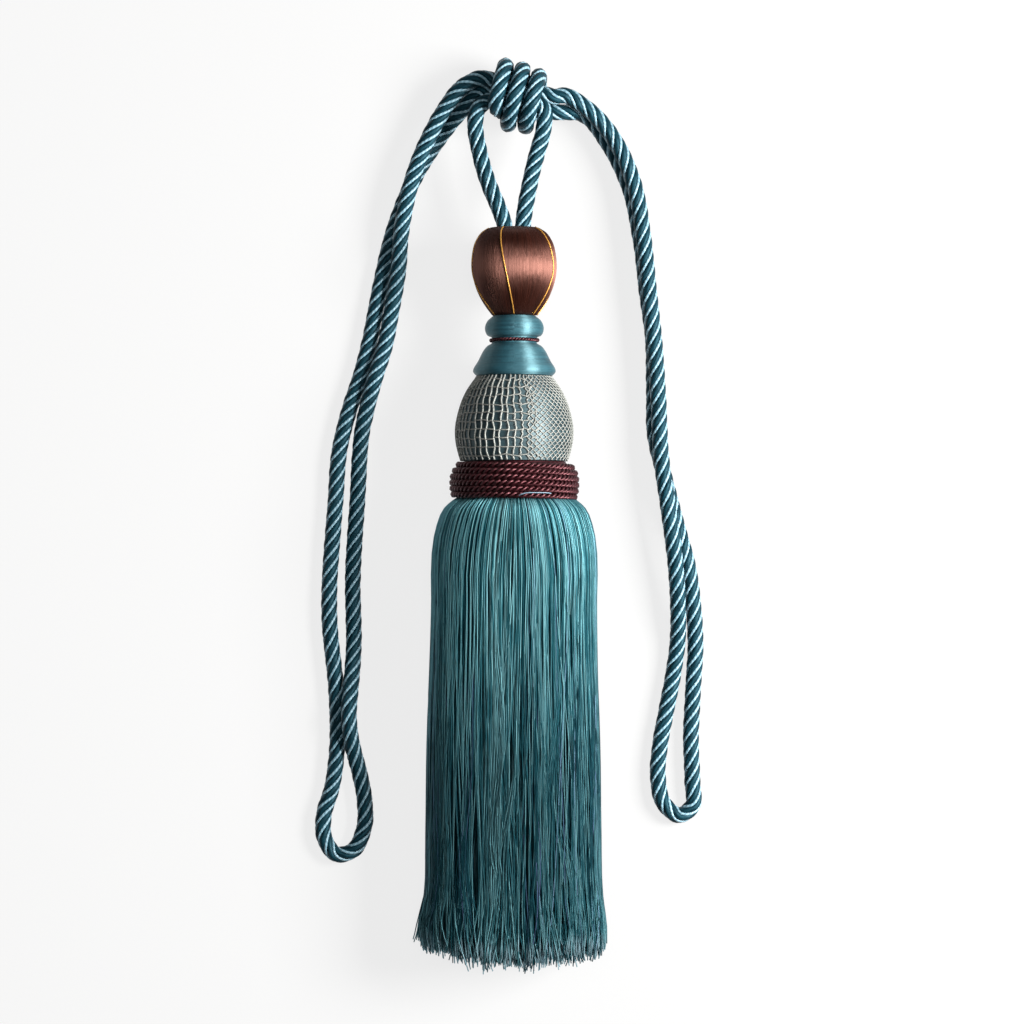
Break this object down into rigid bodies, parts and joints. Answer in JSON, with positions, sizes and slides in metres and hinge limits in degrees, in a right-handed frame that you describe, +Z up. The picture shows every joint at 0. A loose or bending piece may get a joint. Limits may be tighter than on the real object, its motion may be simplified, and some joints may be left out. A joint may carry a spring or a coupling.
{
  "type": "curtain tieback tassel",
  "caption": "Curtain tieback with a doubled twisted rope, a wrapped knot, and a tassel of wound beads, a corded band and a long cut fringe skirt, lying on its back.",
  "frame": {"origin": "on the surface the tassel lies on, under the middle of the tassel without its ropes", "axes": "+Y along the tassel from hem to crown, +X to the right as seen from above, +Z up from the surface"},
  "size_m": [0.1646, 0.3851, 0.0554],
  "materials": {
    "brown_floss": "brown silk floss wound lengthwise, with a soft sheen and gold threads",
    "teal_satin": "teal satin thread wound around",
    "netted_satin": "teal satin under a silver-beige metallic net",
    "burgundy_cord": "fine twisted burgundy cord",
    "teal_rayon": "cut teal rayon threads of several tones",
    "twisted_rope": "four-strand dark teal rope with a fine pale blue strand in each groove"
  },
  "bodies": {
    "root": {"crown_bead": "brown_floss", "collar": "teal_satin", "waist_thread": "burgundy_cord", "egg_bead": "netted_satin", "band": "burgundy_cord", "skirt": "teal_rayon", "rope_left": "twisted_rope", "rope_right": "twisted_rope", "hanger_left": "twisted_rope", "hanger_right": "twisted_rope", "knot": "twisted_rope"}
  },
  "joints": []
}
